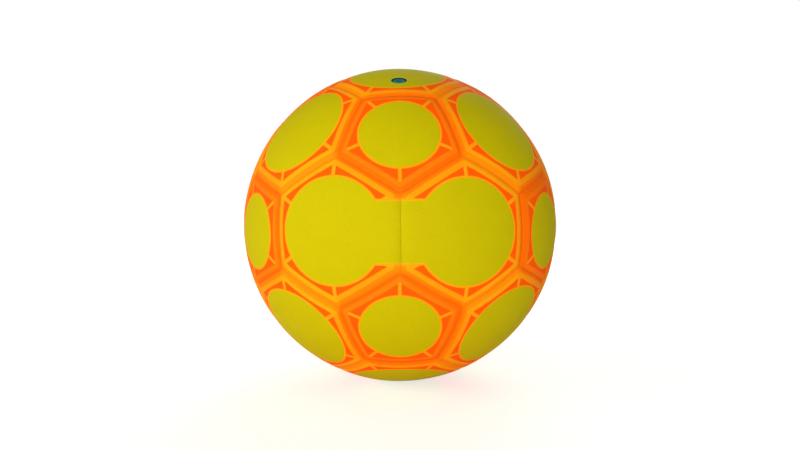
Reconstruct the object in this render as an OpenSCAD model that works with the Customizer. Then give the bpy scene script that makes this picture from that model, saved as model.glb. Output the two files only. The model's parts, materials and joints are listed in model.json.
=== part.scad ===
// Hand-sewn handball: 12 pentagon and 20 hexagon covers, turned in and laced
// along 90 seams, each backed by a foam pad and a fabric lining, round a
// rubber bladder with a push-in needle valve.
// The origin is the centre of the ball, +Z is up, and -Y is the front, where
// two hexagons share an upright seam.

/* [Ball] */
// Girth of the ball, measured round its crowns
girth = 590; // [500:5:620]

/* [Panels] */
// Thickness of a cover
cover_t = 1.6; // [1.2:0.1:2.0]
// Thickness of the foam pad behind a cover
pad_t = 1.4; // [0.8:0.1:1.8]
// Thickness of the fabric lining behind a pad
lining_t = 0.6; // [0.3:0.1:0.8]
// Glue line between two layers
glue_t = 0.05; // [0.03:0.01:0.1]
// Room between the edge of a pad or lining and the cover that turns in beside it
layer_room = 0.2; // [0.1:0.05:0.5]

/* [Seams] */
// Depth of a turned-in edge, from the crown to its tip
seam_depth = 6.4; // [6.2:0.1:8.0]
// Radius of the roll from the crown into the seam
roll_r = 3.5; // [2.8:0.1:3.8]
// How far the roll's circle stands past the crown, so that the two cross
roll_rise = 0.06; // [0.03:0.01:0.15]
// Gap between the two turned-in edges of a seam
seam_gap = 0.2; // [0.1:0.05:0.4]

/* [Stitches] */
// Stitches along one seam
stitch_count = 6; // [4:1:6]
// Distance between two stitches
stitch_pitch = 5.6; // [3:0.1:5.8]
// Depth of the stitch holes below the crown
stitch_depth = 5.0; // [4.8:0.1:5.2]
// Radius of the thread
thread_r = 0.45; // [0.4:0.05:0.5]
// How far the thread is pressed flat where it lies on the cover
thread_press = 0.2; // [0.15:0.05:0.3]
// Radius of the thread where it is pulled through a hole
pulled_thread_r = 0.28; // [0.2:0.02:0.3]
// Room round the thread, in its hole and beside the cover
thread_room = 0.12; // [0.08:0.02:0.2]
// Length of thread past the last stitch
thread_end = 1.2; // [0.8:0.1:1.4]

/* [Bladder] */
// Wall of the bladder
bladder_t = 1.2; // [0.6:0.1:2.0]
// Room between the bladder and the tips of the turned-in edges
bladder_room = 0.25; // [0.15:0.05:0.5]

/* [Valve] */
// Distance of the valve from the middle of its panel, along the surface
valve_shift = 17.5; // [0:0.5:18]
// Radius of the hole in the cover
valve_hole_r = 4.0; // [3.8:0.1:4.6]
// Radius of the valve's head
head_r = 3.6; // [3.0:0.1:3.7]
// Depth of the head below the crown
head_recess = 0.5; // [0.2:0.1:0.8]
// Radius of the neck that carries the head
neck_r = 5.2; // [4.8:0.1:6.0]
// Room round the neck in the pad and the lining
neck_room = 0.4; // [0.2:0.1:0.8]
// Radius of the housing inside the bladder
housing_r = 4.4; // [4.0:0.1:4.7]
// Radius of the housing's collar
collar_r = 8.5; // [6.5:0.5:10]
// Thickness of the housing's collar
collar_t = 0.8; // [0.5:0.1:1.0]
// Radius of the patch between the collar and the bladder
patch_r = 12; // [10.5:0.5:12.5]
// Thickness of the patch
patch_t = 0.8; // [0.5:0.1:1.0]
// Length of the valve below the crown
valve_len = 15; // [14:0.5:20]
// Radius of the core's stem
stem_r = 2.0; // [1.8:0.1:2.2]
// Radius of the barb that locks the core under its housing's shoulder
barb_r = 2.6; // [2.4:0.1:3.2]
// Length of the barb
barb_len = 2.4; // [1.6:0.1:3.0]
// Room round the core and the housing where they are pushed in
valve_room = 0.1; // [0.05:0.05:0.2]
// Radius of the needle hole
needle_r = 1.05; // [0.9:0.05:1.2]
// Length of the needle hole, from the face of the head
needle_len = 10; // [6:0.5:11]
// Depth of the funnel that leads the needle in
funnel_depth = 0.5; // [0.3:0.1:0.8]

/* [Hidden] */
$fn = 96;
pentagon_sides = 5;
hexagon_sides = 6;
// How far a cut runs past the solid that it trims
cut_over = 2;

// Radii of the layers, from the centre of the ball
ball_r = girth / (2 * PI);
pad_out = ball_r - cover_t - glue_t;
lining_out = pad_out - pad_t - glue_t;
tip_out = ball_r - seam_depth;
stitch_out = ball_r - stitch_depth;
bladder_out = tip_out - bladder_room;
patch_out = bladder_out + glue_t + patch_t;
collar_out = patch_out + glue_t + collar_t;

// Centre of the roll: its height over the seam plane, and its reach along it
roll_up = seam_gap / 2 + roll_r;
roll_out = sqrt(pow(ball_r, 2) - pow(roll_up, 2)) + roll_rise - roll_r;

// The thread's two runs lie pressed flat on both sides of a seam: the height of
// the flat over the seam plane, that of the thread's middle, and half its length
thread_flat = seam_gap / 2 + cover_t + thread_room;
thread_up = thread_flat + thread_r - thread_press;
thread_half = (stitch_count - 1) / 2 * stitch_pitch + thread_end;

// The valve's levels along its own axis
neck_top = sqrt(pow(ball_r - cover_t - glue_t, 2) - pow(neck_r, 2));
head_top = ball_r - head_recess;
valve_foot = ball_r - valve_len;
barb_top = valve_foot + barb_len;

// Truncated icosahedron: the pentagons lie on the corners of an icosahedron and
// the hexagons on its faces. Its diameter is this many times one edge.
golden = (1 + sqrt(5)) / 2;
diameter_to_edge = sqrt(9 * golden + 10);
// Two panels are neighbours if the cosine between their axes is over this
neighbour_cos = 0.7;

pentagon_axes = [
    for (k = [0:2], a = [-1, 1], b = [-1, 1]) unit(shifted([0, a * golden, b], k))
];
all_hexagon_axes = concat(
    [for (a = [-1, 1], b = [-1, 1], c = [-1, 1]) unit([a, b, c])],
    [for (k = [0:2], a = [-1, 1], b = [-1, 1]) unit(shifted([a / golden, b * golden, 0], k))]
);
valve_panel_axis = unit([0, -1 / golden, golden]);
hexagon_axes = [for (a = all_hexagon_axes) if (!same(a, valve_panel_axis)) a];
hexagon_pairs = [
    for (i = [1:len(all_hexagon_axes) - 1], j = [0:i - 1])
        if (all_hexagon_axes[i] * all_hexagon_axes[j] > neighbour_cos)
            [all_hexagon_axes[i], all_hexagon_axes[j]]
];
valve_tilt = acos(valve_panel_axis.z) + degrees(valve_shift, ball_r);

function numbered(name, i) = str(name, i < 9 ? "_0" : "_", i + 1);
function unit(v) = v / norm(v);
function degrees(arc, r) = arc / r * 180 / PI;
function shifted(v, k) = [for (i = [0:2]) v[(i + k) % 3]];
function same(a, b) = norm(a - b) < 0.1;

// Angles at the ball's centre, from the middle of a panel to a corner or an edge
function corner_angle(sides) = asin(1 / (diameter_to_edge * sin(180 / sides)));
function edge_angle(sides) = atan(tan(corner_angle(sides)) * cos(180 / sides));

// Height over the seam plane of the cover's inner face, at a radius of the ball
function inner_face_up(r) =
    let (over = min(max(r - roll_out, 0), roll_r - cover_t))
    roll_up - sqrt(pow(roll_r - cover_t, 2) - pow(over, 2));

// A frame's rows from its z and x axes
function frame(z, x) = let (y = cross(z, x)) [for (i = [0:2]) [x[i], y[i], z[i], 0]];
function square_to(axis, v) = unit(v - axis * (axis * v));
function panel_frame(axis, others) =
    frame(axis, square_to(axis, [for (o = others) if (axis * o > neighbour_cos) o][0]));

// In a panel's frame z is its own axis and x points at the middle of one edge
module on_pentagon(axis) {
    multmatrix(panel_frame(axis, all_hexagon_axes)) children();
}

module on_hexagon(axis) {
    multmatrix(panel_frame(axis, pentagon_axes)) children();
}

// In an edge's frame x points at its middle, y runs along it, and z stands on
// the seam plane and points into the panel
module on_edge(sides, k) {
    rotate([0, 0, k * 360 / sides]) rotate([0, edge_angle(sides) - 90, 0]) children();
}

module on_valve() {
    rotate([valve_tilt, 0, 0]) children();
}

// Section of a spherical cap, for a turn about its axis
module cap_section(outer_r, inner_r, half_width) {
    difference() {
        intersection() {
            circle(outer_r);
            square([half_width, ball_r]);
        }
        circle(inner_r);
    }
}

// Shell that is a little wider than a panel
module blank(sides, outer_r, inner_r) {
    rotate_extrude()
        cap_section(outer_r, inner_r, ball_r * sin(corner_angle(sides)) + cut_over);
}

// How far a blank stands out past one edge
function overhang(sides) = ball_r * sin(corner_angle(sides)) * (1 - cos(180 / sides)) + 3 * cut_over;

// What is cut away past one edge, to leave the roll and the turned-in edge. The
// inset is how far the face that is left lies inside the cover's own face.
module roll_cut(sides, inset) {
    turn = corner_angle(sides);
    rotate([0, 0, -turn]) rotate_extrude(angle = 2 * turn) difference() {
        translate([tip_out - 2 * cut_over, -overhang(sides)])
            square([seam_depth + 3 * cut_over, overhang(sides) + roll_up]);
        translate([roll_out, roll_up]) circle(roll_r - inset);
        translate([tip_out - 3 * cut_over, seam_gap / 2 + inset])
            square([roll_out - tip_out + 3 * cut_over, roll_r]);
    }
}

// A panel's rolled form down to a radius, once its first k edges are cut
module rolled_form(sides, inset, inner_r, k) {
    if (k == 0) blank(sides, ball_r - inset, inner_r);
    else difference() {
        rolled_form(sides, inset, inner_r, k - 1);
        on_edge(sides, k - 1) roll_cut(sides, inset);
    }
}

module at_stitches() {
    for (i = [0:stitch_count - 1])
        rotate([0, 0, degrees((i - (stitch_count - 1) / 2) * stitch_pitch, stitch_out)])
            translate([stitch_out, 0, 0]) children();
}

// Cover of one panel: its crown, rolled edges and turned-in edges with holes
module cover(sides) {
    difference() {
        difference() {
            rolled_form(sides, 0, tip_out, sides);
            rolled_form(sides, cover_t, tip_out - cut_over, sides);
        }
        for (k = [0:sides - 1]) on_edge(sides, k) at_stitches()
            cylinder(r = pulled_thread_r + thread_room, h = cover_t + cut_over);
    }
}

// Flat-edged layer behind a cover, clear of the edges that turn in beside it
module layer(sides, outer_r, thick) {
    half = ball_r * sin(corner_angle(sides)) + cut_over;
    up = inner_face_up(outer_r) + layer_room;
    difference() {
        blank(sides, outer_r, outer_r - thick);
        for (k = [0:sides - 1]) on_edge(sides, k)
            translate([tip_out, -half, -overhang(sides)])
                cube([seam_depth, 2 * half, overhang(sides) + up]);
    }
}

module pad(sides) {
    layer(sides, pad_out, pad_t);
}

module lining(sides) {
    layer(sides, lining_out, lining_t);
}

// Thread of one seam: a flattened run on both sides, and the stitches between
module seam_thread() {
    half_turn = degrees(thread_half, stitch_out);
    for (side = [0, 1]) mirror([0, 0, side]) rotate([0, 0, -half_turn])
        rotate_extrude(angle = 2 * half_turn) intersection() {
            translate([stitch_out, thread_up]) circle(thread_r);
            translate([tip_out, thread_flat]) square([seam_depth, 2 * thread_r]);
        }
    at_stitches() cylinder(r = pulled_thread_r, h = 2 * thread_up, center = true);
}

// Room for the valve through the layers of its panel
module valve_way(r) {
    on_valve() cylinder(r = r, h = ball_r + cut_over);
}

module pentagon_panel(axis) {
    color("darkorange") on_pentagon(axis) cover(pentagon_sides);
}

module hexagon_panel(axis) {
    color("orange") on_hexagon(axis) cover(hexagon_sides);
}

module valve_panel() {
    color("gold") difference() {
        on_hexagon(valve_panel_axis) cover(hexagon_sides);
        valve_way(valve_hole_r);
    }
}

module pentagon_pads() {
    color("whitesmoke") for (a = pentagon_axes) on_pentagon(a) pad(pentagon_sides);
}

module hexagon_pads() {
    color("whitesmoke") for (a = hexagon_axes) on_hexagon(a) pad(hexagon_sides);
}

module valve_pad() {
    color("whitesmoke") difference() {
        on_hexagon(valve_panel_axis) pad(hexagon_sides);
        valve_way(neck_r + neck_room);
    }
}

module pentagon_linings() {
    color("linen") for (a = pentagon_axes) on_pentagon(a) lining(pentagon_sides);
}

module hexagon_linings() {
    color("linen") for (a = hexagon_axes) on_hexagon(a) lining(hexagon_sides);
}

module valve_lining() {
    color("linen") difference() {
        on_hexagon(valve_panel_axis) lining(hexagon_sides);
        valve_way(neck_r + neck_room);
    }
}

// Threads between a pentagon and a hexagon
module pentagon_seam_threads() {
    color("ivory") for (a = pentagon_axes, k = [0:pentagon_sides - 1])
        on_pentagon(a) on_edge(pentagon_sides, k) seam_thread();
}

// Threads between two hexagons
module hexagon_seam_threads() {
    color("ivory") for (pair = hexagon_pairs)
        multmatrix(frame(unit(pair[0] - pair[1]), unit(pair[0] + pair[1]))) seam_thread();
}

module bladder() {
    color("dimgray") difference() {
        sphere(bladder_out);
        sphere(bladder_out - bladder_t);
        valve_way(housing_r + valve_room);
    }
}

module valve_patch() {
    color("gray") on_valve() rotate_extrude() difference() {
        cap_section(patch_out, bladder_out + glue_t, patch_r);
        square([housing_r + valve_room, ball_r]);
    }
}

// Rubber housing: collar on the patch, neck up to the cover, tube into the bladder
module valve_housing() {
    color("dimgray") on_valve() rotate_extrude() difference() {
        union() {
            cap_section(collar_out, patch_out + glue_t, collar_r);
            translate([0, valve_foot]) square([housing_r, neck_top - valve_foot]);
            translate([0, collar_out - collar_t / 2])
                square([neck_r, neck_top - collar_out + collar_t / 2]);
        }
        square([stem_r + valve_room, ball_r]);
        square([barb_r + valve_room, barb_top + valve_room]);
    }
}

// Push-in core: domed head, stem and barb, with a blind hole for the needle
module valve_core() {
    color("teal") on_valve() rotate_extrude() difference() {
        union() {
            intersection() {
                circle(head_top);
                translate([0, neck_top + glue_t]) square([head_r, ball_r - neck_top]);
            }
            translate([0, barb_top]) square([stem_r, (neck_top + head_top) / 2 - barb_top]);
            polygon([
                [0, valve_foot],
                [stem_r, valve_foot],
                [barb_r, barb_top - barb_len / 3],
                [barb_r, barb_top],
                [0, barb_top]
            ]);
        }
        translate([0, head_top - needle_len]) square([needle_r, needle_len + cut_over]);
        polygon([
            [0, head_top - funnel_depth],
            [needle_r, head_top - funnel_depth],
            [needle_r + 2 * funnel_depth, head_top + funnel_depth],
            [0, head_top + funnel_depth]
        ]);
    }
}

for (i = [0:len(pentagon_axes) - 1])
    pentagon_panel(pentagon_axes[i]);
for (i = [0:len(hexagon_axes) - 1])
    hexagon_panel(hexagon_axes[i]);
valve_panel();
pentagon_pads();
hexagon_pads();
valve_pad();
pentagon_linings();
hexagon_linings();
valve_lining();
pentagon_seam_threads();
hexagon_seam_threads();
bladder();
valve_patch();
valve_housing();
valve_core();
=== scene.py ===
# %% [markdown]
# # A hand-sewn handball
# The ball is a rubber bladder inside a shell of 12 pentagon and 20 hexagon covers, laced together along 90
# seams. The solids of all its pieces come in as a fixed frame. This lesson dresses them: it makes the
# covers and the valve's core again as smooth surfaces, gives every piece its finish, and sets up the
# studio.

import json
import math

import bpy
import numpy as np
from mathutils import Matrix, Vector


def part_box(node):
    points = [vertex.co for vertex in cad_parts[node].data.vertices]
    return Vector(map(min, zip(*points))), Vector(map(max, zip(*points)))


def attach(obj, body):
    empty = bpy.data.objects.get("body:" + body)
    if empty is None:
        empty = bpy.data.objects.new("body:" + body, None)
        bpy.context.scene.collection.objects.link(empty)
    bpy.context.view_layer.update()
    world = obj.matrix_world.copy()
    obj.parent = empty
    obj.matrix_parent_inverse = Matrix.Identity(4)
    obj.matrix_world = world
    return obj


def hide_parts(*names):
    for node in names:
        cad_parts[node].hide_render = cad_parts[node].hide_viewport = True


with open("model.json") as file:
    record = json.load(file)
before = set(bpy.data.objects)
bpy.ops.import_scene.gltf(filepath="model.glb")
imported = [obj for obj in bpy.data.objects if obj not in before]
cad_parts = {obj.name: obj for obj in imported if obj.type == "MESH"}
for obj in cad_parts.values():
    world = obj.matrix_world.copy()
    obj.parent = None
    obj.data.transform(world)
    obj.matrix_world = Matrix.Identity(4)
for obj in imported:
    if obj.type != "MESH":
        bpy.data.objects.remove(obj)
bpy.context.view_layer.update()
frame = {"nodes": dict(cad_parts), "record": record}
scene = bpy.context.scene

# %% [markdown]
# ## Where the panels are
# A ball of this make is a truncated icosahedron: a pentagon on each of the 12 corners of an icosahedron,
# and a hexagon on each of its 20 faces. Both sets of axes follow from the golden ratio, so nothing has to
# be measured. Each cover finds its own axis as the one nearest to the middle of its solid's box.

# %% Panel axes
MM = 0.001
GOLDEN = (1 + math.sqrt(5)) / 2


def unit(vectors):
    """Vectors scaled to length 1."""
    return vectors / np.linalg.norm(vectors, axis=-1, keepdims=True)


def all_signs(x, y, z):
    """The points (x, y, z) with every choice of signs, each once."""
    signs = np.array(np.meshgrid([-1, 1], [-1, 1], [-1, 1])).reshape(3, -1).T
    return np.unique(np.round(signs * np.array([x, y, z]), 9), axis=0)


def cycled(points):
    """Points with their coordinates moved round: x y z, z x y and y z x."""
    return np.concatenate([np.roll(points, k, axis=1) for k in range(3)])


pentagon_axes = unit(cycled(all_signs(0, GOLDEN, 1)))
hexagon_axes = unit(np.concatenate([all_signs(1, 1, 1), cycled(all_signs(1 / GOLDEN, GOLDEN, 0))]))
all_axes = np.concatenate([pentagon_axes, hexagon_axes])
print("axes:", len(pentagon_axes), "pentagons and", len(hexagon_axes), "hexagons")

# %% Covers and their axes
cover_names = sorted(name for name in frame["nodes"] if "panel" in name)


def axis_of(name):
    """The panel axis nearest to the middle of a cover's solid."""
    low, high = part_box(name)
    return all_axes[np.argmax(all_axes @ np.array((low + high) / 2))]


def solid_points(name):
    """The corners of a solid's mesh, one row each."""
    mesh = frame["nodes"][name].data
    points = np.empty(len(mesh.vertices) * 3, np.float32)
    mesh.vertices.foreach_get("co", points)
    return points.reshape(-1, 3)


BALL_R = float(np.linalg.norm(solid_points(cover_names[0]), axis=1).max())
print("covers:", len(cover_names), "radius of the ball %.2f mm" % (BALL_R / MM))

# %% [markdown]
# ## A panel's own frame
# Every panel gets a frame with z along its axis and x towards the middle of one edge. Two hexagons share a
# seam half way between their axes. That gives the angle from a hexagon's axis to its edges, and what is
# left of the way to a pentagon's axis is the pentagon's.

# %% Edge angles and frames
SAME_AXIS = 0.999
near = np.sort(np.arccos(np.clip(hexagon_axes @ hexagon_axes.T, -1, 1)), axis=1)[0, 1]
to_pentagon = np.arccos(np.clip(hexagon_axes @ pentagon_axes.T, -1, 1)).min()
HEXAGON_EDGE = near / 2
PENTAGON_EDGE = to_pentagon - HEXAGON_EDGE


def panel_frame(axis):
    """Three rows x, y and z: z is the axis, and x points at the nearest panel of the other kind."""
    closeness = all_axes @ axis
    closeness[closeness > SAME_AXIS] = -1
    towards = all_axes[np.argmax(np.round(closeness, 6))]
    x = unit(towards - axis * (towards @ axis))
    return np.stack([x, np.cross(axis, x), axis])


print("degrees from axis to edge:", np.degrees([HEXAGON_EDGE, PENTAGON_EDGE]).round(2))

# %% [markdown]
# ## A flat chart of a panel
# On the ball a seam is part of a great circle. If the panel is drawn on a flat sheet that touches the ball
# at the panel's axis, with every point pushed out along its own radius, great circles turn into straight
# lines and the panel is an ordinary polygon. Rays are drawn on that sheet from one point to evenly spaced
# points of its rim.

# %% Rays on the chart
POINTS_PER_SIDE = 40


def side_turns(sides):
    """The angle at which each side of a panel lies, counted from x."""
    return 2 * np.pi * np.arange(sides) / sides


def rays_to_rim(sides, edge_angle, start):
    """Unit directions on the chart from start to points along the rim. The rim's side k is the middle of
    that side plus a share, from -1 to 1, of half its length."""
    turn = side_turns(sides)[:, None, None]
    share = np.linspace(-1, 1, POINTS_PER_SIDE, endpoint=False)[None, :, None]
    outward = np.concatenate([np.cos(turn), np.sin(turn)], axis=2)
    along = np.concatenate([-np.sin(turn), np.cos(turn)], axis=2)
    rim = math.tan(edge_angle) * (outward + share * math.tan(math.pi / sides) * along)
    return unit(rim.reshape(-1, 2) - start)


print("rays per hexagon:", len(rays_to_rim(6, HEXAGON_EDGE, np.zeros(2))))

# %% [markdown]
# ## Rings along the seams
# A flat polygon could be cut into even squares and pushed out to the ball, but then no row of faces would
# follow the fold. A cover's rings should run beside its seams, as fold, print and stitches do. For every
# ray the next function finds how far it runs before it comes within a given distance of a seam. This also
# holds for rays that start off the middle, which the cover round the valve needs.

# %% Distance to the seams
TINY = 1e-9


def seam_normals(sides, edge_angle):
    """The inward normals of the planes through the ball's centre and each seam, one column each."""
    turn = side_turns(sides)
    flat = -math.cos(edge_angle)
    return np.stack([flat * np.cos(turn), flat * np.sin(turn), np.full(sides, math.sin(edge_angle))])


def reach_to_inset(sides, edge_angle, start, rays, inset):
    """How far each ray runs on the chart until it is only inset metres from a seam. With t the length of the
    ray, sin(inset / radius) = (a - b t) / sqrt(c + 2 e t + t t). Squared, that is a quadratic in t, and the
    answer is its smaller root, for the seam that gives the least."""
    normals = seam_normals(sides, edge_angle)
    sine = math.sin(inset / BALL_R)
    a = start @ normals[:2] + normals[2]
    b = -(rays @ normals[:2])
    c = 1 + start @ start
    e = (rays @ start)[:, None]
    half = a * b + sine**2 * e
    square = b**2 - sine**2
    root = np.sqrt(np.maximum(half**2 - square * (a**2 - sine**2 * c), 0))
    facing = b > sine + TINY
    t = np.where(facing, (half - root) / np.where(facing, square, 1), np.inf)
    return t.min(axis=1)


def reach_to_circle(start, rays, radius):
    """How far each ray runs until it is radius metres from where it starts, measured on the ball: the same
    kind of quadratic, for the cone round the start."""
    sine = math.sin(radius / BALL_R) ** 2
    c = 1 + start @ start
    e = rays @ start
    square = (1 - sine) * c - e**2
    half = c * e * sine
    return (half + np.sqrt(half**2 + square * c**2 * sine)) / square


print("hexagon, edge to edge: %.1f mm" % (2 * HEXAGON_EDGE * BALL_R / MM))

# %% [markdown]
# ## The profile of a cover
# A cover is one sheet: a crown, a slope into the seam, a straight turned-in edge, and the same way back on
# its inner skin. The thread presses the padding down beside the seam, which a parabola gives, and the fold
# itself is a small quarter of an ellipse, because leather can't be folded sharply. Where three covers meet,
# the slopes run into each other: a soft minimum of the distances to all seams rounds those corners off, as
# padding does.

# %% Sizes of a cover
COVER_T = 1.6 * MM
SEAM_GAP = 0.03 * MM
SEAM_DEPTH = 6.4 * MM
ROLL_W = 4.2 * MM
PRESS = 0.65 * MM
LIP_W = 0.18 * MM
LIP_DEPTH = 0.10 * MM
CORNER_SOFTNESS = 0.5 * MM
INNER_ROLL = 1.9 * MM


def softest(distances):
    """A soft minimum: minus s times the log of the sum of exp(-distance / s)."""
    s = CORNER_SOFTNESS
    least = distances.min(axis=-1, keepdims=True)
    return least[..., 0] - s * np.log(np.exp((least - distances) / s).sum(axis=-1))


def lip_drop(distance, width, depth):
    """How far a rounded edge lies below the face beside it: a quarter ellipse."""
    share = np.clip(1 - distance / width, 0, 1)
    return depth * (1 - np.sqrt(1 - share**2))


def roll_drop(distance):
    """How far the skin lies below the crown near a seam: a parabola for the padding, which the thread
    presses down, and a quarter ellipse for the last fifth of a millimetre, the fold."""
    share = np.clip(1 - distance / ROLL_W, 0, 1)
    return PRESS * share**2 + lip_drop(distance, LIP_W, LIP_DEPTH)


print("drop 1 mm from a seam: %.2f mm" % (roll_drop(1 * MM) / MM))

# %% [markdown]
# ## The maker's hand
# Thirty-two padded panels sewn by hand are never alike. Slow waves lift and lower each crown by a tenth of
# a millimetre, and the thread pulls small dimples into the slope at every stitch. Both are part of the
# surface, not of the material, so they bend the light in every view.

# %% Unevenness
WAVES = 6
WAVE_TURNS = 13.0
WAVE_HEIGHT = 0.10 * MM
STITCHES = 6
STITCH_PITCH = 5.6 * MM
PUCKER = 0.2 * MM
PUCKER_REACH = 1.8 * MM


def crown_waves(directions, seed):
    """A sum of sines in random directions, the same each run for the same seed."""
    random = np.random.default_rng(seed)
    waves = unit(random.normal(size=(WAVES, 3))) * WAVE_TURNS
    phase = random.uniform(0, 2 * np.pi, WAVES)
    return WAVE_HEIGHT * np.sin(directions @ waves.T + phase).sum(axis=-1) / math.sqrt(WAVES)


def stitch_puckers(local, distances, sides):
    """Dimples beside a seam: a squared wave along it, deepest at each stitch, times a bell curve across."""
    turn = side_turns(sides)
    along_sides = np.stack([-np.sin(turn), np.cos(turn), 0 * turn])
    along = BALL_R * np.arcsin(np.clip(local @ along_sides, -1, 1))
    along = np.take_along_axis(along, distances.argmin(axis=-1)[..., None], axis=-1)[..., 0]
    wave = (0.5 - 0.5 * np.cos(2 * np.pi * along / STITCH_PITCH)) ** 2
    wave *= np.abs(along) < STITCHES / 2 * STITCH_PITCH
    return PUCKER * wave * np.exp(-((distances.min(axis=-1) / PUCKER_REACH) ** 2))


print("waves per panel:", WAVES, "stitches per seam:", STITCHES)

# %% [markdown]
# ## One cover from rings
# The rings are stacked as a closed strip: out over the crown, down the slope and the turned-in edge, back
# up inside, and home under the crown. A plain cover ends in a point at both ends. The cover round the valve
# starts and ends at the rim of its hole instead, so its rings form a closed tube. The rings crowd together
# towards the seam, where the surface bends most, and the hidden inner skin has only a third as many.

# %% Reach of the rings
CROWN_ROWS = 17
ROLL_ROWS = 13
ROLL_CROWDING = 1.3
TURN_ROWS = 3
INNER_SKIP = 3


def ring_reaches(kind, start, rays, first):
    """How far the rings reach along each ray: first the outer rows, for crown and slope, then the rows of
    the turned-in edge, its outer and its inner face, and of the inner skin."""
    sides, edge_angle = kind

    def inset(distance):
        return reach_to_inset(sides, edge_angle, start, rays, distance)

    edge = SEAM_GAP / 2
    inner_edge = edge + COVER_T
    share = np.linspace(0, 1, CROWN_ROWS)[1:, None]
    lean = np.linspace(0, np.pi / 2, ROLL_ROWS)[1:]
    crown = first[-1] + share * (inset(edge + ROLL_W) - first[-1])
    roll = [inset(edge + ROLL_W * (1 - math.sin(angle)) ** ROLL_CROWDING) for angle in lean]
    turned_in = [inset(edge)] * TURN_ROWS + [inset(inner_edge)] * TURN_ROWS
    inner_roll = [inset(inner_edge + INNER_ROLL * (1 - math.cos(angle))) for angle in lean[::INNER_SKIP]]
    inner_crown = first[0] + share[::-INNER_SKIP] * (inner_roll[-1] - first[0])
    outer = np.concatenate([first, crown, roll])
    return outer, np.concatenate([turned_in, inner_roll, inner_crown, first[:1]])


def inner_radii(distances):
    """Radii of the rows past the fold: straight down to the tip of the turned-in edge, straight up again,
    and a quarter ellipse over into the inner skin."""
    tip = BALL_R - SEAM_DEPTH
    fold = BALL_R - PRESS - LIP_DEPTH
    inner_fold = BALL_R - COVER_T - INNER_ROLL
    inner_edge = SEAM_GAP / 2 + COVER_T
    radius = BALL_R - COVER_T - lip_drop(distances.min(axis=-1) - inner_edge, INNER_ROLL, INNER_ROLL)
    radius[:TURN_ROWS] = np.linspace(fold, tip, TURN_ROWS + 1)[1:, None]
    radius[TURN_ROWS : 2 * TURN_ROWS] = np.linspace(tip, inner_fold, TURN_ROWS + 1)[:-1, None]
    return radius


print("rows of rings: crown", CROWN_ROWS, "slope", ROLL_ROWS)

# %% Rings of a cover
HOLE_R = 4.0 * MM
HOLE_LIP = 0.5 * MM
LIP_STEPS = np.array([0.0, 0.03, 0.1, 0.25, 0.5, 1.0, 1.8]) * MM


def cover_rings(kind, axes, seed, hole_axis=None):
    """Points of a cover as rows by columns by 3. A row is a ring at one distance from the seams, a column a
    ray, and a point is its direction times the radius that the profile gives at its distance."""
    sides, edge_angle = kind
    start = np.zeros(2)
    if hole_axis is not None:
        local_hole = axes @ hole_axis
        start = local_hole[:2] / local_hole[2]
    rays = rays_to_rim(sides, edge_angle, start)
    first = np.zeros((1, len(rays)))
    if hole_axis is not None:
        first = np.stack([reach_to_circle(start, rays, HOLE_R + past) for past in LIP_STEPS])
    outer, inner = ring_reaches(kind, start, rays, first)

    flat = start + np.concatenate([outer, inner])[..., None] * rays
    local = unit(np.concatenate([flat, np.ones(flat.shape[:2] + (1,))], axis=2))
    distances = BALL_R * np.arcsin(np.clip(local @ seam_normals(sides, edge_angle), -1, 1))
    directions = local @ axes

    radius = BALL_R - roll_drop(softest(distances) - SEAM_GAP / 2)
    radius += crown_waves(directions, seed) - stitch_puckers(local, distances, sides)
    if hole_axis is not None:
        past_hole = BALL_R * np.arccos(np.clip(directions @ hole_axis, -1, 1)) - HOLE_R
        radius -= lip_drop(past_hole, HOLE_LIP, HOLE_LIP)
    radius[len(outer) :] = inner_radii(distances[len(outer) :])
    return local, directions * radius[..., None], distances


sample = cover_rings((6, HEXAGON_EDGE), panel_frame(hexagon_axes[0]), 0)[1]
print("rings:", sample.shape[0], "points on a ring:", sample.shape[1])

# %% [markdown]
# ## From rings to a mesh
# Neighbouring rings are joined by four-sided faces. All index arithmetic is done on whole arrays. The order
# of the corners makes every face look outwards, since rows run away from the axis and columns run
# anticlockwise.

# %% Mesh of a closed shell
def shell_faces(rows, columns, closed):
    """Corner numbers of the faces between rings. An open strip has its first and last ring shrunk to one
    corner."""
    if closed:
        index = np.arange(rows * columns).reshape(rows, columns)
        index = np.concatenate([index, index[:1]])
        caps = []
    else:
        index = 1 + np.arange((rows - 2) * columns).reshape(rows - 2, columns)
        top, bottom = index[0], index[-1]
        last = 1 + (rows - 2) * columns
        caps = np.stack([0 * top, top, np.roll(top, -1)], axis=1).tolist()
        caps += np.stack([0 * bottom + last, np.roll(bottom, -1), bottom], axis=1).tolist()
    after = np.roll(index, -1, axis=1)
    quads = np.stack([index[:-1], index[1:], after[1:], after[:-1]], axis=2)
    return quads.reshape(-1, 4).tolist() + caps


def flatten_rings(values, closed):
    """Ring values as one list of corners, with single corners for the two shrunk rings of an open strip."""
    if closed:
        return values.reshape(-1, *values.shape[2:])
    body = values[1:-1].reshape(-1, *values.shape[2:])
    return np.concatenate([values[:1, 0], body, values[-1:, 0]])


def shell_object(name, rings, closed, measures):
    """A smooth mesh object from rings, with each measure written as an attribute of its corners."""
    mesh = bpy.data.meshes.new(name)
    points = flatten_rings(rings, closed)
    mesh.from_pydata(points.tolist(), [], shell_faces(rings.shape[0], rings.shape[1], closed))
    mesh.polygons.foreach_set("use_smooth", np.ones(len(mesh.polygons), bool))
    for label, values in measures.items():
        attribute = mesh.attributes.new(label, "FLOAT", "POINT")
        attribute.data.foreach_set("value", flatten_rings(values, closed).astype(np.float32))
    mesh.update()
    piece = bpy.data.objects.new(name, mesh)
    scene.collection.objects.link(piece)
    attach(piece, "root")
    return piece


print("faces of a hexagon cover:", len(shell_faces(sample.shape[0], sample.shape[1], False)))

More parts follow.
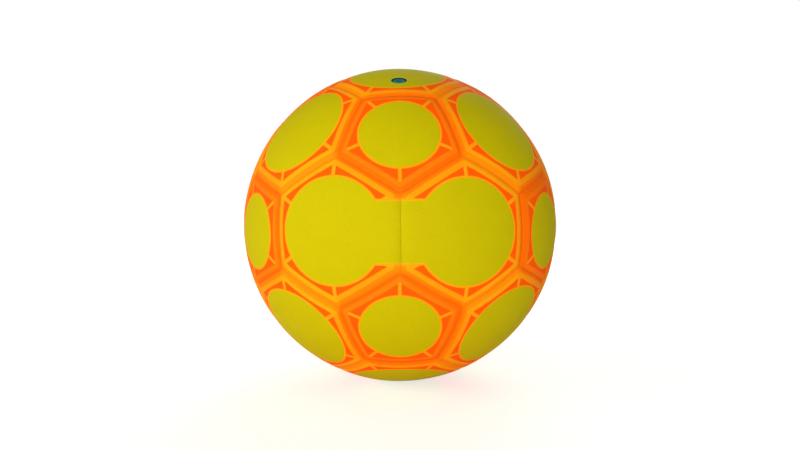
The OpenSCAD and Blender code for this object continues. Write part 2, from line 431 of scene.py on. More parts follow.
# %% [markdown]
# ## What the print needs to know
# The print on every panel is a disc, an outline beside the seams and short spokes to the corners. It isn't
# an image: each corner of the mesh stores its distance from the panel's axis, from the nearest seam and
# from the nearest spoke, in millimetres, and the material draws lines and areas from these. Panels are
# printed flat and cut out by hand, so the print slips a little against the seams, by a different amount on
# each. A hexagon's sides take turns between pentagons and hexagons, and those towards hexagons are marked
# as odd, because their inks are lighter. On the two front hexagons the discs are joined by a plain band
# across their shared seam. An image would have to be laid out on every panel and would blur from close by.
# Distances stay sharp.

# %% Measures for the print
BAND_HALF = 14.9
BAND_MIDDLE = 0.8
BAND_REACH = 30.0
NO_BAND = -100.0
SIDE_BLEND = 4.0 * MM
PRINT_SLIP = 0.5 * MM
PRINT_SEED = 100


def print_measures(kind, local, points, distances, banded, seed):
    """Distances in millimetres, worked out from each point's direction in its panel's frame. The print's own
    directions are the panel's with a small slip added."""
    sides, edge_angle = kind
    slip = np.random.default_rng(seed + PRINT_SEED).normal(0, PRINT_SLIP / BALL_R, 2)
    printed = unit(local + np.array([*slip, 0]))
    outlines = BALL_R * np.arcsin(np.clip(printed @ seam_normals(sides, edge_angle), -1, 1))
    height = np.clip(printed[..., 2], -1, 1)
    turn = np.arctan2(printed[..., 1], printed[..., 0])
    from_corner = np.mod(turn, 2 * np.pi / sides) - np.pi / sides
    sideways = np.sqrt(1 - height**2) * np.abs(np.sin(from_corner))
    band = np.full(height.shape, NO_BAND)
    if banded:
        across = np.abs(points[..., 0]) / MM
        up = np.abs(points[..., 2] / MM - BAND_MIDDLE)
        band = np.minimum(BAND_HALF - up, BAND_REACH - across)
    odd_side = np.zeros(height.shape)
    if sides == 6:
        lead = distances[..., 0::2].min(axis=-1) - distances[..., 1::2].min(axis=-1)
        odd_side = np.clip(0.5 + lead / SIDE_BLEND, 0, 1)
    return {
        "seam_mm": distances.min(axis=-1) / MM,
        "outline_mm": outlines.min(axis=-1) / MM,
        "disc_mm": BALL_R * np.arccos(height) / MM,
        "spoke_mm": BALL_R * np.arcsin(sideways) / MM,
        "band_mm": band,
        "odd_side": odd_side,
    }


print("band across the front seam: %.1f mm high" % (2 * BAND_HALF))

# %% [markdown]
# ## All 32 covers
# One loop makes every cover in its panel's frame, with the panel's number as the seed for its waves and its
# slip. A single cover could be copied round, but then all would be dented alike. The hole for the valve
# lies off the middle of its panel, on the valve's axis, which the record of the part gives.

# %% Make the covers
FRONT_LIMIT = -0.9
valve_mount = next(mount for mount in frame["record"]["mounts"] if mount["name"] == "needle_hole")
VALVE_AXIS = unit(np.array(valve_mount["axis"]))
covers = {}
for number, name in enumerate(cover_names):
    axis = axis_of(name)
    kind = (5, PENTAGON_EDGE) if name.startswith("pentagon") else (6, HEXAGON_EDGE)
    hole = VALVE_AXIS if name == "valve_panel" else None
    banded = kind[0] == 6 and axis[1] < FRONT_LIMIT
    local, points, distances = cover_rings(kind, panel_frame(axis), number, hole)
    measures = print_measures(kind, local, points, distances, banded, number)
    if hole is not None:
        measures["hole_mm"] = BALL_R * np.arccos(np.clip(unit(points) @ hole, -1, 1)) / MM
    piece = shell_object(name + "_skin", points, hole is not None, measures)
    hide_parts(name)
    covers[name] = piece
print("covers made:", len(covers), "faces:", sum(len(piece.data.polygons) for piece in covers.values()))

# %% [markdown]
# ## The valve's core
# The core is a soft rubber plug that is pushed into the bladder's housing. Only its round head shows. It
# could be put together from cylinders, but then each edge would need its own rounding. It is a body of
# revolution, so one profile carried round the valve's axis makes all of it. The rim of the head and the
# mouth of the needle hole are rounded, because rubber never leaves a mould with sharp edges.

# %% Core of the valve
HEAD_R = 3.6 * MM
HEAD_TOP = BALL_R - 0.5 * MM
HEAD_ROUND = 0.55 * MM
HEAD_FOOT = BALL_R - 1.7 * MM
STEM_R = 2.0 * MM
BARB_R = 2.6 * MM
BARB_LEN = 2.4 * MM
VALVE_FOOT = BALL_R - 15 * MM
NEEDLE_R = 1.05 * MM
NEEDLE_FOOT = HEAD_TOP - 10 * MM
MOUTH_ROUND = 0.6 * MM
MOUTH_STEPS = 7
DISH = 0.18 * MM
RIM_START = 110
RIM_STEPS = 9
TURNS = 96


def arc(centre, radius, start, end, steps):
    """Points of a circle in the profile, angles in degrees, radius first and height second."""
    angle = np.radians(np.linspace(start, end, steps))
    return np.stack([centre[0] + radius * np.cos(angle), centre[1] + radius * np.sin(angle)], axis=1)


def core_profile():
    """From the foot of the needle hole up to its mouth, over the dished head and down the stem to its barb,
    as pairs of radius and height."""
    mouth_middle = (NEEDLE_R + MOUTH_ROUND, HEAD_TOP - DISH - MOUTH_ROUND)
    mouth = arc(mouth_middle, MOUTH_ROUND, 180, 90, MOUTH_STEPS)
    rim_middle = (HEAD_R - HEAD_ROUND, HEAD_TOP - HEAD_ROUND)
    rim = arc(rim_middle, HEAD_ROUND, RIM_START, 0, RIM_STEPS)
    return np.concatenate([
        [(0, NEEDLE_FOOT), (NEEDLE_R, NEEDLE_FOOT), (NEEDLE_R, (NEEDLE_FOOT + HEAD_TOP) / 2)],
        mouth,
        rim,
        [(HEAD_R, HEAD_FOOT), (STEM_R, HEAD_FOOT), (STEM_R, VALVE_FOOT + BARB_LEN)],
        [(BARB_R, VALVE_FOOT + BARB_LEN), (BARB_R, VALVE_FOOT + 2 * BARB_LEN / 3)],
        [(STEM_R, VALVE_FOOT), (0, VALVE_FOOT)],
    ])


def turned_rings(profile, axis):
    """A profile carried round an axis: height along the axis plus radius along a turning side direction."""
    side = unit(np.cross(axis, [1.0, 0.0, 0.0]))
    angle = 2 * np.pi * np.arange(TURNS) / TURNS
    spin = np.cos(angle)[:, None] * side + np.sin(angle)[:, None] * np.cross(axis, side)
    return profile[:, 1, None, None] * axis + profile[:, 0, None, None] * spin


core = shell_object("valve_core_skin", turned_rings(core_profile(), VALVE_AXIS), False, {})
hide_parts("valve_core")
print("valve core faces:", len(core.data.polygons))

# %% [markdown]
# ## Small tools for materials
# The materials are built from nodes by a script, so a few helpers keep the cells short: they add a node and
# wire its sockets, do arithmetic, make a soft step or noise, mix two colours and add a bump. Colours are
# written as they would look on screen, from 0 to 255, and turned into the linear values that Blender works
# with.

# %% Colours and nodes
def linear(red, green, blue):
    """Screen values from 0 to 255 as a linear colour, by the sRGB curve."""
    share = np.array([red, green, blue]) / 255
    low = share / 12.92
    high = ((share + 0.055) / 1.055) ** 2.4
    return (*np.where(share <= 0.04045, low, high).tolist(), 1.0)


def wire(tree, socket, value):
    """Links an output to a socket, or sets a plain value on it."""
    if isinstance(value, bpy.types.NodeSocket):
        tree.links.new(value, socket)
    else:
        socket.default_value = value


def put(tree, kind, sockets, **settings):
    """Adds a shader node, with its settings and its input sockets by name or number."""
    made = tree.nodes.new("ShaderNode" + kind)
    for key, value in settings.items():
        setattr(made, key, value)
    for key, value in sockets.items():
        wire(tree, made.inputs[key], value)
    return made


print("middle grey in linear light: %.3f" % linear(128, 128, 128)[0])

# %% Node helpers
def calc(tree, operation, *values):
    """Arithmetic on sockets or numbers."""
    return put(tree, "Math", dict(enumerate(values)), operation=operation).outputs[0]


def step(tree, value, low, high):
    """A soft step that is 0 at low and 1 at high."""
    sockets = {"Value": value, "From Min": low, "From Max": high}
    return put(tree, "MapRange", sockets, interpolation_type="SMOOTHSTEP").outputs["Result"]


def noise(tree, vector, scale, detail):
    """Smooth noise round 0.5, with scale waves to the metre."""
    return put(tree, "TexNoise", {"Vector": vector, "Scale": scale, "Detail": detail}).outputs["Fac"]


def mix(tree, share, first, second):
    """One colour faded into another."""
    return put(tree, "Mix", {0: share, 6: first, 7: second}, data_type="RGBA").outputs[2]


def add_bump(tree, shader, height, strength, depth):
    """Tilts the shader's normal by a height. Depth is how many metres a height of 1 stands for."""
    bump = put(tree, "Bump", {"Height": height, "Strength": strength, "Distance": depth})
    wire(tree, shader.inputs["Normal"], bump.outputs["Normal"])


def new_material(name):
    """A material, its node tree, its shader and its object coordinates."""
    material = bpy.data.materials.new(name)
    material.use_nodes = True
    tree = material.node_tree
    place = put(tree, "TexCoord", {}).outputs["Object"]
    return material, tree, tree.nodes["Principled BSDF"], place


print("helpers ready: calc, step, noise, mix, add_bump, new_material")

# %% Group helpers
def new_group(name, inputs, outputs):
    """A shader node group with named sockets. inputs maps a name to its default, outputs lists names."""
    tree = bpy.data.node_groups.new(name, "ShaderNodeTree")
    for label, default in inputs.items():
        vector = default is None
        kind = "NodeSocketVector" if vector else "NodeSocketFloat"
        socket = tree.interface.new_socket(label, in_out="INPUT", socket_type=kind)
        if not vector:
            socket.default_value = default
    for label in outputs:
        tree.interface.new_socket(label, in_out="OUTPUT", socket_type="NodeSocketFloat")
    given = tree.nodes.new("NodeGroupInput").outputs
    result = tree.nodes.new("NodeGroupOutput").inputs
    return tree, given, result


def use_group(tree, group, sockets):
    """Places a group in a material and returns its outputs."""
    made = tree.nodes.new("ShaderNodeGroup")
    made.node_tree = group
    for key, value in sockets.items():
        wire(tree, made.inputs[key], value)
    return made.outputs


print("helpers ready: new_group, use_group")

# %% [markdown]
# ## The panel print
# The print is the same on all panels but for its sizes, so it is one group. It reads the stored distances
# and puts out masks: the disc with the front band, the outline, the spokes, the fringe round the disc where
# two inks overlap, and the area inside the outline. A little noise on the distances keeps the ink's edges
# from looking cut with a knife.

# %% Group panel_print
OUTLINE_NOISE = 140.0
DISC_NOISE = 190.0
WIDTH_NOISE = 28.0
WIDTH_WANDER = 1.0
WANDER_DETAIL = 2.0
panel_print, given, result = new_group(
    "panel_print",
    {"Vector": None, "Outline": 0, "Disc": 0, "Spoke": 0, "Band": 0, "Disc Radius": 26.0}
    | {"Outline Inset": 3.6, "Outline Width": 2.4, "Spoke Width": 1.8, "Softness": 0.28}
    | {"Wander": 0.35, "Fringe Width": 0.9},
    ["Disc", "Line", "Spoke", "Fringe", "Inside"],
)


def wandering(tree, vector, amount, distance, scale):
    """A distance with slow noise added, so that an ink edge wanders."""
    swing = calc(tree, "SUBTRACT", noise(tree, vector, scale, WANDER_DETAIL), 0.5)
    return calc(tree, "ADD", distance, calc(tree, "MULTIPLY", swing, amount))


def print_masks(tree, given, result):
    """Each mask is a soft step on one of the distances."""
    vector, wander, soft = given["Vector"], given["Wander"], given["Softness"]
    minus_soft = calc(tree, "MULTIPLY", soft, -1)

    def inked(depth):
        """1 where a point lies inside the edge of an ink, depth being how far."""
        return step(tree, depth, minus_soft, soft)

    outline = wandering(tree, vector, wander, given["Outline"], OUTLINE_NOISE)
    disc = wandering(tree, vector, wander, given["Disc"], DISC_NOISE)
    half_line = calc(tree, "DIVIDE", given["Outline Width"], 2)
    half_line = wandering(tree, vector, WIDTH_WANDER, half_line, WIDTH_NOISE)
    half_spoke = calc(tree, "DIVIDE", given["Spoke Width"], 2)

    in_disc = calc(tree, "MAXIMUM", calc(tree, "SUBTRACT", given["Disc Radius"], disc), given["Band"])
    past_line = calc(tree, "SUBTRACT", outline, given["Outline Inset"])
    in_line = calc(tree, "SUBTRACT", half_line, calc(tree, "ABSOLUTE", past_line))
    in_spoke = calc(tree, "SUBTRACT", half_spoke, given["Spoke"])
    in_fringe = calc(tree, "ADD", in_disc, given["Fringe Width"])

    masks = {"Disc": inked(in_disc), "Line": inked(in_line), "Inside": inked(past_line)}
    masks["Spoke"] = calc(tree, "MULTIPLY", inked(in_spoke), masks["Inside"])
    fringe = calc(tree, "SUBTRACT", inked(in_fringe), masks["Disc"])
    masks["Fringe"] = calc(tree, "MAXIMUM", fringe, 0)
    for label, mask in masks.items():
        wire(tree, result[label], mask)


print_masks(panel_print, given, result)
print("panel_print nodes:", len(panel_print.nodes))

# %% [markdown]
# ## Leather grain
# The covers are soft synthetic leather with a fine embossed pebble, which a thrower feels more than sees.
# An image of leather would repeat. A cell texture gives pebbles that never do, and a second, larger noise
# makes them swell and fade. The group puts out a height for the bump, the creases between pebbles, where a
# little shade is painted, and a mottle that varies the colour.

# %% Group leather_grain
PEBBLE = 0.6
PEBBLE_SMOOTHNESS = 0.6
SWELL_SCALE = 90.0
SWELL_DETAIL = 3.0
CREASE_FROM, CREASE_TO = 0.35, 0.7
leather_grain, given, result = new_group(
    "leather_grain", {"Vector": None, "Pebble": PEBBLE}, ["Height", "Crease Shade", "Mottle"]
)


def grain_values(tree, given, result):
    """A pebble's dome is 1 less the distance to its middle, times a noise that makes the domes uneven."""
    per_metre = calc(tree, "DIVIDE", 1 / MM, given["Pebble"])
    sockets = {"Vector": given["Vector"], "Scale": per_metre, "Smoothness": PEBBLE_SMOOTHNESS}
    from_middle = put(tree, "TexVoronoi", sockets, feature="SMOOTH_F1").outputs["Distance"]
    swell = noise(tree, given["Vector"], SWELL_SCALE, SWELL_DETAIL)
    dome = calc(tree, "SUBTRACT", 1.0, from_middle)
    wire(tree, result["Height"], calc(tree, "MULTIPLY", dome, swell))
    # Painted shade in the creases between pebbles.
    wire(tree, result["Crease Shade"], step(tree, from_middle, CREASE_FROM, CREASE_TO))
    wire(tree, result["Mottle"], swell)


grain_values(leather_grain, given, result)
print("leather_grain nodes:", len(leather_grain.nodes))

# %% [markdown]
# ## Wear of use and painted seam shade
# Hands polish the crowns, and painted shade lies in the seams. Both could be painted on an image, but the
# stored distance to the seam already tells where the shade lies. The group takes that distance, breaks it up
# with noise and puts out a mask of painted seam shade, and a scuff mask of sparse soft patches for the
# gloss.

# %% Group wear_and_seam_shade
PATCH_SCALE = 55.0
PATCH_DETAIL = 4.0
SCUFF_FROM, SCUFF_TO = 0.52, 0.75
wear_and_seam_shade, given, result = new_group(
    "wear_and_seam_shade", {"Vector": None, "Seam": 10.0, "Reach": 1.1}, ["Grime", "Scuff"]
)


def wear_masks(tree, given, result):
    """Painted seam shade fades out over a reach that varies from patch to patch."""
    patches = noise(tree, given["Vector"], PATCH_SCALE, PATCH_DETAIL)
    reach = calc(tree, "MULTIPLY", given["Reach"], calc(tree, "ADD", patches, 0.5))
    # The painted seam shade is 1 at the seam and fades out over the reach.
    past_seam_shade = step(tree, given["Seam"], 0.0, reach)
    wire(tree, result["Grime"], calc(tree, "SUBTRACT", 1.0, past_seam_shade))
    wire(tree, result["Scuff"], step(tree, patches, SCUFF_FROM, SCUFF_TO))


wear_masks(wear_and_seam_shade, given, result)
print("wear_and_seam_shade nodes:", len(wear_and_seam_shade.nodes))

# %% [markdown]
# ## The inks
# The discs are yellow-green and everything round them is orange, in several strengths: the deep orange next
# to the disc, lighter outlines and spokes, and a margin. Painted shade deepens the margin towards the fold
# on every seam between a hexagon and a pentagon. The pentagons' inks are deeper than the hexagons' and their
# outline is only faint, so both kinds of panel have their own set.

# %% Inks
NEON_GAIN = 1.35


def neon(red, green, blue):
    """A fluorescent ink. It turns blue light into orange, so it gives back more red than a plain ink can."""
    colour = linear(red, green, blue)
    return (colour[0] * NEON_GAIN, *colour[1:])


DISC_YELLOW = linear(217, 198, 6)
DEEP_ORANGE = neon(255, 102, 6)
PENTAGON_ORANGE = neon(253, 120, 6)
PENTAGON_LINE = neon(255, 134, 14)
# The fold entry is the deeper orange of the painted shade beside the fold.
HEXAGON_INKS = {
    "margin": (neon(255, 142, 10), neon(254, 154, 11)),
    "line": (neon(254, 168, 15), neon(252, 180, 16)),
    "fold": neon(252, 122, 6),
    "fringe": neon(254, 176, 22),
}
# The fold entry is the deeper orange of the painted shade beside the fold.
PENTAGON_INKS = {
    "margin": (PENTAGON_ORANGE, PENTAGON_ORANGE),
    "line": (PENTAGON_LINE, PENTAGON_LINE),
    "fold": neon(252, 120, 6),
    "fringe": neon(254, 170, 22),
}
print("red of the deep orange: %.2f of full" % DEEP_ORANGE[0])

# %% Sizes of the print
HEXAGON_SIZES = {"Disc Radius": 26.8, "Spoke Width": 1.9}
HEXAGON_OUTLINE = {"Outline Inset": (4.0, 3.7), "Outline Width": (2.6, 2.4)}
PENTAGON_SIZES = {"Disc Radius": 20.2, "Spoke Width": 1.7}
PENTAGON_OUTLINE = {"Outline Inset": (3.2, 3.2), "Outline Width": (2.2, 2.2)}
FOLD_SHADE_REACH = 2.8


def measure(tree, label):
    """A distance stored on the mesh."""
    return put(tree, "Attribute", {}, attribute_name=label).outputs["Fac"]


def printed_colour(tree, place, inks, sizes, outline):
    """Margin, painted shade towards the fold, deep orange, spokes, outline, fringe and disc, laid over each
    other in this order. A pair of inks or sizes is for a plain side and for an odd one."""
    odd_side = measure(tree, "odd_side")
    plain_side = calc(tree, "SUBTRACT", 1.0, odd_side)
    fields = {"Vector": place} | sizes
    for label in ("Outline", "Disc", "Spoke", "Band"):
        fields[label] = measure(tree, label.lower() + "_mm")
    for label, (plain, odd) in outline.items():
        fields[label] = calc(tree, "MULTIPLY_ADD", odd_side, odd - plain, plain)
    masks = use_group(tree, panel_print, fields)
    # Painted shade deepens the margin towards every seam between a hexagon and a pentagon.
    fold = calc(tree, "SUBTRACT", 1.0, step(tree, measure(tree, "seam_mm"), 0.0, FOLD_SHADE_REACH))
    fold = calc(tree, "MULTIPLY", fold, plain_side)
    colour = mix(tree, odd_side, *inks["margin"])
    colour = mix(tree, fold, colour, inks["fold"])
    colour = mix(tree, masks["Inside"], colour, DEEP_ORANGE)
    colour = mix(tree, masks["Spoke"], colour, inks["fringe"])
    colour = mix(tree, masks["Line"], colour, mix(tree, odd_side, *inks["line"]))
    colour = mix(tree, masks["Fringe"], colour, inks["fringe"])
    return mix(tree, masks["Disc"], colour, DISC_YELLOW)


for kind_name, sizes in (("hexagon", HEXAGON_SIZES), ("pentagon", PENTAGON_SIZES)):
    print("disc on a", kind_name, "%.1f mm across" % (2 * sizes["Disc Radius"]))

# %% [markdown]
# ## The covers' material
# Over the print come painted shade inside the valve's hole and a painted highlight round its rim, then
# painted shade in the seams and the grain, with painted shade in its creases. The groups feed base colour,
# roughness and bump, and every value that is the same all over is set on the shader itself. The leather is
# matt, so its specular level is low.

# %% Covers' material
HOLE_WALL = (3.0, 3.5, 4.08, 4.25)
HOLE_RIM = (4.08, 4.25, 4.6, 4.9)
# Painted shade inside the valve's hole and a painted highlight round its rim.
HOLE_WALL_PAINTED_SHADE = linear(22, 34, 16)
HOLE_RIM_PAINTED_HIGHLIGHT = linear(190, 204, 80)
# Painted shade in the seams: a brown mixed in towards each seam.
SEAM_PAINTED_SHADE = linear(150, 92, 6)
SEAM_SHADE_SHARE = 0.1
BLACK = linear(0, 0, 0)
TONE, MOTTLE_TONE, CREASE_SHADE_TONE = 0.96, 0.10, -0.05
LEATHER_ROUGHNESS, SCUFF_ROUGHNESS = 0.66, -0.08
LEATHER_SPECULAR = 0.02
GRAIN_STRENGTH, GRAIN_DEPTH = 0.9, 0.14 * MM


def ring(tree, distance, limits):
    """1 between two circles: up from the first limit to the second, down from the third to the last."""
    rise = step(tree, distance, *limits[:2])
    fall = step(tree, distance, *limits[2:])
    return calc(tree, "SUBTRACT", rise, fall)


def cover_material(name, inks, sizes, outline):
    """The print, painted shade and a painted highlight at the valve's hole, painted shade in the seams and
    grain with painted shade in its creases all over.
    """
    material, tree, shader, place = new_material(name)
    colour = printed_colour(tree, place, inks, sizes, outline)
    hole = measure(tree, "hole_mm")
    # A painted highlight round the hole's rim, then painted shade on its wall.
    colour = mix(tree, ring(tree, hole, HOLE_RIM), colour, HOLE_RIM_PAINTED_HIGHLIGHT)
    colour = mix(tree, ring(tree, hole, HOLE_WALL), colour, HOLE_WALL_PAINTED_SHADE)
    wear = use_group(tree, wear_and_seam_shade, {"Vector": place, "Seam": measure(tree, "seam_mm")})
    # Painted shade darkens the colour towards the seams.
    colour = mix(tree, calc(tree, "MULTIPLY", wear["Grime"], SEAM_SHADE_SHARE), colour, SEAM_PAINTED_SHADE)
    grain = use_group(tree, leather_grain, {"Vector": place})
    tone = calc(tree, "MULTIPLY_ADD", grain["Mottle"], MOTTLE_TONE, TONE)
    # Painted shade makes the creases between pebbles a little darker.
    tone = calc(tree, "MULTIPLY_ADD", grain["Crease Shade"], CREASE_SHADE_TONE, tone)
    wire(tree, shader.inputs["Base Color"], mix(tree, tone, BLACK, colour))
    rough = calc(tree, "MULTIPLY_ADD", wear["Scuff"], SCUFF_ROUGHNESS, LEATHER_ROUGHNESS)
    wire(tree, shader.inputs["Roughness"], rough)
    add_bump(tree, shader, grain["Height"], GRAIN_STRENGTH, GRAIN_DEPTH)
    shader.inputs["Specular IOR Level"].default_value = LEATHER_SPECULAR
    return material


hexagon_cover = cover_material("hexagon_cover", HEXAGON_INKS, HEXAGON_SIZES, HEXAGON_OUTLINE)
pentagon_cover = cover_material("pentagon_cover", PENTAGON_INKS, PENTAGON_SIZES, PENTAGON_OUTLINE)
for name, piece in covers.items():
    piece.data.materials.append(pentagon_cover if name.startswith("pentagon") else hexagon_cover)
print("covers dressed:", len(covers))

# %% [markdown]
# ## Rubber
# Bladder, patch, housing and valve are moulded rubber: even in colour, with a dusty bloom and a fine skin.
# One group gives the bloom and the skin, and the materials differ in colour and gloss.

# %% Rubber
SKIN_SCALE = 900.0
SKIN_DETAIL = 4.0
BLOOM_SCALE = 60.0
BLOOM_DETAIL = 3.0
BLOOM_FROM, BLOOM_TO = 0.4, 0.8
BLOOM_ROUGHNESS = 0.15
SKIN_STRENGTH, SKIN_DEPTH = 0.3, 0.03 * MM
moulded_skin, given, result = new_group(
    "moulded_skin", {"Vector": None, "Scale": SKIN_SCALE}, ["Height", "Bloom"]
)
fine = noise(moulded_skin, given["Vector"], given["Scale"], SKIN_DETAIL)
cloud = noise(moulded_skin, given["Vector"], BLOOM_SCALE, BLOOM_DETAIL)
wire(moulded_skin, result["Height"], fine)
wire(moulded_skin, result["Bloom"], step(moulded_skin, cloud, BLOOM_FROM, BLOOM_TO))


def rubber_material(name, colour, bloom, roughness, specular):
    """Rubber with a pale bloom in clouds."""
    material, tree, shader, place = new_material(name)
    skin = use_group(tree, moulded_skin, {"Vector": place})
    wire(tree, shader.inputs["Base Color"], mix(tree, skin["Bloom"], colour, bloom))
    rough = calc(tree, "MULTIPLY_ADD", skin["Bloom"], BLOOM_ROUGHNESS, roughness)
    wire(tree, shader.inputs["Roughness"], rough)
    add_bump(tree, shader, skin["Height"], SKIN_STRENGTH, SKIN_DEPTH)
    shader.inputs["Specular IOR Level"].default_value = specular
    return material


valve_rubber = rubber_material("valve_rubber", linear(2, 98, 94), linear(10, 112, 104), 0.45, 0.08)
bladder_rubber = rubber_material("bladder_rubber", linear(36, 36, 38), linear(58, 57, 56), 0.6, 0.4)
core.data.materials.append(valve_rubber)
print("rubbers:", valve_rubber.name, bladder_rubber.name)

# %% [markdown]
# ## Cloth, foam and thread
# The inner layers keep their solids' shape and only need a finish. Cloth and thread share a weave made of
# crossed sines on the object's own coordinates. Foam is a fine cell texture.

# %% Weave group and inner materials
FOAM_SCALE = 1800.0
WALL_FROM, WALL_TO = 0.2, 0.8
INNER_STRENGTH, INNER_DEPTH = 0.4, 0.05 * MM
FOAM_ROUGHNESS = 0.9
weave, given, result = new_group("weave", {"Vector": None, "Pitch": 0.6}, ["Height", "Shade"])
axes_of_place = put(weave, "SeparateXYZ", {"Vector": given["Vector"]}).outputs
turns = calc(weave, "DIVIDE", 2 * math.pi / MM, given["Pitch"])
waves = [calc(weave, "SINE", calc(weave, "MULTIPLY", part, turns)) for part in axes_of_place]
level_threads = calc(weave, "MULTIPLY", waves[0], waves[1])
upright_threads = calc(weave, "MULTIPLY", waves[1], waves[2])
crossed = calc(weave, "ADD", level_threads, upright_threads)
wire(weave, result["Height"], crossed)
wire(weave, result["Shade"], step(weave, crossed, -1.0, 1.0))


def woven_material(name, dark, pale, pitch, roughness):
    """Cloth or thread: the weave's shade mixes two tones and its height drives the bump."""
    material, tree, shader, place = new_material(name)
    threads = use_group(tree, weave, {"Vector": place, "Pitch": pitch})
    wire(tree, shader.inputs["Base Color"], mix(tree, threads["Shade"], dark, pale))
    add_bump(tree, shader, threads["Height"], INNER_STRENGTH, INNER_DEPTH)
    shader.inputs["Roughness"].default_value = roughness
    return material


def foam_material(name, dark, pale):
    """Closed-cell foam: a cell texture darkens the walls between bubbles."""
    material, tree, shader, place = new_material(name)
    bubbles = put(tree, "TexVoronoi", {"Vector": place, "Scale": FOAM_SCALE}).outputs["Distance"]
    walls = step(tree, bubbles, WALL_FROM, WALL_TO)
    wire(tree, shader.inputs["Base Color"], mix(tree, walls, pale, dark))
    add_bump(tree, shader, bubbles, INNER_STRENGTH, INNER_DEPTH)
    shader.inputs["Roughness"].default_value = FOAM_ROUGHNESS
    return material


lining_cloth = woven_material("lining_cloth", linear(190, 182, 160), linear(232, 226, 208), 0.7, 0.9)
waxed_thread = woven_material("waxed_thread", linear(196, 188, 160), linear(236, 230, 210), 0.35, 0.5)
foam = foam_material("foam", linear(205, 205, 200), linear(240, 240, 235))
print("inner finishes:", lining_cloth.name, waxed_thread.name, foam.name)

# %% [markdown]
# ## Dressing what lies inside
# Pads, linings, threads, bladder, patch and housing are closed in by the covers. Making them again would
# show nowhere, so they keep the solids that came in, and each takes the finish that its slot in the record
# names.

# %% Dress the inner solids
finish_of_slot = {"foam": foam, "lining_cloth": lining_cloth, "thread": waxed_thread}
finish_of_slot |= {"bladder_rubber": bladder_rubber}
dressed = 0
for part in frame["record"]["subparts"]:
    finish = finish_of_slot.get(part["material_slot"])
    if finish:
        solid = frame["nodes"][part["node"]]
        solid.data.materials.clear()
        solid.data.materials.append(finish)
        dressed += 1
print("inner solids dressed:", dressed)

# %% [markdown]
# ## The studio
# The ball lies on a pale floor under an even sky. A backdrop bent up behind it would be seen from the side,
# and a floor that fades into the sky looks the same from everywhere. The sky is faint as a light, but the
# camera and mirrored rays see it white. The floor adds a little white of its own where the camera sees it,
# more of it further away, so it blends with the sky and still keeps the ball's shadow.

# %% Sky
SKY_STRENGTH = 0.22
SKY_COLOUR = (0.88, 1.0, 0.92, 1.0)
WHITE = (1.0, 1.0, 1.0, 1.0)


def white_for_camera(tree):
    """1 where the camera looks straight at it or sees it mirrored, 0 for the light it casts."""
    path = put(tree, "LightPath", {}).outputs
    seen = calc(tree, "MAXIMUM", path["Is Camera Ray"], path["Is Glossy Ray"])
    return calc(tree, "MAXIMUM", seen, path["Is Transmission Ray"])


world = bpy.data.worlds.new("studio_sky")
world.use_nodes = True
scene.world = world
tree = world.node_tree
sky = tree.nodes["Background"]
sky.inputs["Color"].default_value = SKY_COLOUR
sky.inputs["Strength"].default_value = SKY_STRENGTH
shown = put(tree, "Background", {"Color": WHITE, "Strength": 1.0})
both = put(tree, "MixShader", {0: white_for_camera(tree), 1: sky.outputs[0], 2: shown.outputs[0]})
wire(tree, tree.nodes["World Output"].inputs["Surface"], both.outputs[0])
print("sky:", world.name)

# %% Floor
FLOOR_SIZE = 12.0
FLOOR_PALE = (0.85, 0.85, 0.85, 1.0)
GLOW_NEAR, GLOW_RISE = 0.62, 0.26
GLOW_FROM, GLOW_TO = 0.2, 1.6

half = FLOOR_SIZE / 2
corners = [(-half, -half, -BALL_R), (half, -half, -BALL_R), (half, half, -BALL_R), (-half, half, -BALL_R)]
floor_mesh = bpy.data.meshes.new("floor")
floor_mesh.from_pydata(corners, [], [(0, 1, 2, 3)])
floor = bpy.data.objects.new("floor", floor_mesh)
scene.collection.objects.link(floor)

floor_paint, tree, shader, place = new_material("floor_paint")
tree.nodes.remove(shader)
pale = put(tree, "BsdfDiffuse", {"Color": FLOOR_PALE})
away = put(tree, "VectorMath", {0: place}, operation="LENGTH").outputs["Value"]
glow = calc(tree, "MULTIPLY_ADD", step(tree, away, GLOW_FROM, GLOW_TO), GLOW_RISE, GLOW_NEAR)
glow = calc(tree, "MULTIPLY", white_for_camera(tree), glow)
lift = put(tree, "Emission", {"Color": WHITE, "Strength": glow})
total = put(tree, "AddShader", {0: pale.outputs[0], 1: lift.outputs[0]})
wire(tree, tree.nodes["Material Output"].inputs["Surface"], total.outputs[0])
floor_mesh.materials.append(floor_paint)
print("floor at %.1f mm" % (-BALL_R / MM))

# %% [markdown]
# ## The lamps
# Three softboxes light the ball. A wide, low one in front, a little to the left, gives the front about the
# colour that was written, one on the left brightens that side, and a large one keeps the back from going
# dark. A single lamp would leave the ball's edges too dark for a picture with so little shading. Each is
# given as turn and rise in degrees, width and height in metres, and the share of a written colour that it
# lends to a surface that faces it.

# %% Lamps
LAMP_DISTANCE = 1.2
LAMPS = {
    "front_softbox": (-7.0, 4.0, 0.9, 0.12, 0.60),
    "left_softbox": (-80.0, 12.0, 0.8, 0.3, 0.28),
    "back_softbox": (165.0, 25.0, 0.8, 0.8, 0.45),
}


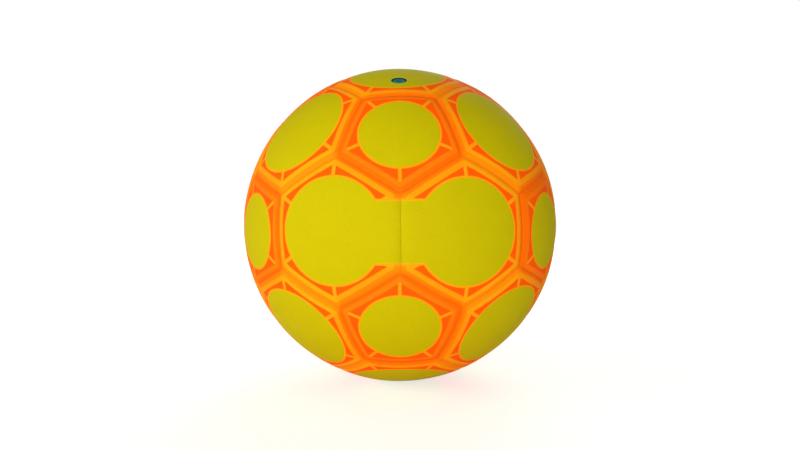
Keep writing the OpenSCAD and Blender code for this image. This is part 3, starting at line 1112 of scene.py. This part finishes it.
def around(turn, rise, distance):
    """A point round the ball: turn degrees to the right of the front, rise degrees up."""
    turn, rise = math.radians(turn), math.radians(rise)
    return distance * np.array([
        math.sin(turn) * math.cos(rise),
        -math.cos(turn) * math.cos(rise),
        math.sin(rise),
    ])


def aim(piece, place, roll=0.0):
    """Puts a lamp or the camera at a place, looking at the ball's centre with its top up."""
    back = unit(place)
    right = unit(np.cross([0.0, 0.0, 1.0], back))
    up = np.cross(back, right)
    angle = math.radians(roll)
    right = math.cos(angle) * right + math.sin(angle) * up
    columns = np.stack([right, np.cross(back, right), back, place], axis=1)
    piece.matrix_world = Matrix([*columns.tolist(), [0, 0, 0, 1]])


def add_softbox(name, turn, rise, width, height, share):
    """A flat lamp that gives a surface facing it this share of its written colour."""
    data = bpy.data.lights.new(name, "AREA")
    data.shape = "RECTANGLE"
    data.size = width
    data.size_y = height
    data.energy = share * math.pi**2 * LAMP_DISTANCE**2
    lamp = bpy.data.objects.new(name, data)
    scene.collection.objects.link(lamp)
    aim(lamp, around(turn, rise, LAMP_DISTANCE))
    print(name, "%.1f W" % data.energy)


for name, setting in LAMPS.items():
    add_softbox(name, *setting)

# %% [markdown]
# ## The camera
# The picture was taken from close by, a little above the ball's middle. How much of the top and bottom
# panels shows gives the distance, counted in radii of the ball, and the ball's size in the frame then gives
# the lens.

# %% Camera
CAMERA_TURN = -0.2
CAMERA_RISE = 2.6
CAMERA_ROLL = -0.5
CAMERA_DISTANCE = 4.11
CAMERA_LENS = 28.0
CAMERA_SENSOR = 36.0
camera_data = bpy.data.cameras.new("camera")
camera_data.sensor_width = CAMERA_SENSOR
camera_data.lens = CAMERA_LENS
camera = bpy.data.objects.new("camera", camera_data)
scene.collection.objects.link(camera)
aim(camera, around(CAMERA_TURN, CAMERA_RISE, CAMERA_DISTANCE * BALL_R), CAMERA_ROLL)
scene.camera = camera
scene.view_settings.view_transform = "Standard"
print("camera %.0f mm from the ball's centre" % (CAMERA_DISTANCE * BALL_R / MM))
